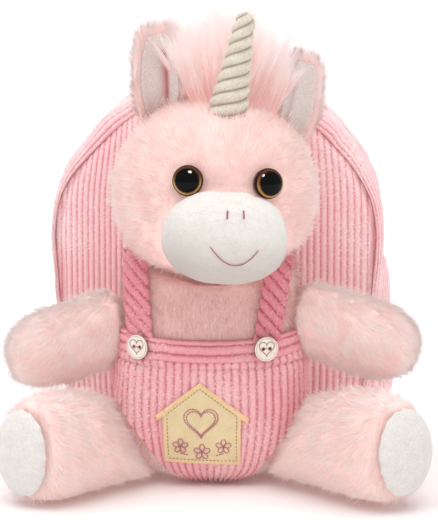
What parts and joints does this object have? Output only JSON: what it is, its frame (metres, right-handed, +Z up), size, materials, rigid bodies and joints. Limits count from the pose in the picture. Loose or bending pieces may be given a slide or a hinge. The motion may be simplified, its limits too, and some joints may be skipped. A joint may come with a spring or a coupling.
{
  "type": "child's backpack with a plush unicorn on its front",
  "caption": "Small arched corduroy backpack with a seated plush unicorn on its front, a zip over the arch, side pockets, shoulder straps and a carrying loop.",
  "frame": {"origin": "middle of the footprint's bounding box, on the surface the bag stands on", "axes": "+X to the viewer's right, +Y from the unicorn to the bag's back, +Z up"},
  "size_m": [0.2962, 0.3144, 0.3314],
  "materials": {
    "corduroy": "pink cotton corduroy with soft ribs",
    "plush": "short pale pink fur with soft piles",
    "velvet": "white short-pile velvet",
    "mane": "long pale pink fur",
    "horn_cord": "cream velvet wound into a spiral",
    "felt": "pale yellow felt with stitching",
    "webbing": "pink woven tape",
    "wood": "smooth pale wood with an engraved outline",
    "plastic": "moulded pink plastic",
    "eye": "polished black with an amber ring"
  },
  "bodies": {
    "root": {"bag_front_panel": "corduroy", "bag_gusset": "corduroy", "bag_back_panel": "corduroy", "zip_tape": "webbing", "zip_slider": "plastic", "carrying_loop": "webbing", "side_pocket_left": "corduroy", "side_pocket_right": "corduroy", "shoulder_pad_left": "corduroy", "shoulder_pad_right": "corduroy", "strap_webbing_left": "webbing", "strap_webbing_right": "webbing", "strap_adjuster_left": "plastic", "strap_adjuster_right": "plastic", "head": "plush", "muzzle": "velvet", "eye_left": "eye", "eye_right": "eye", "horn": "horn_cord", "mane": "mane", "ear_left": "plush", "ear_right": "plush", "ear_lining_left": "velvet", "ear_lining_right": "velvet", "body": "plush", "arm_left": "plush", "arm_right": "plush", "leg_left": "plush", "leg_right": "plush", "sole_left": "velvet", "sole_right": "velvet", "dungarees": "corduroy", "waistband": "corduroy", "brace_left": "corduroy", "brace_right": "corduroy", "button_left": "wood", "button_right": "wood", "patch": "felt"}
  },
  "joints": []
}
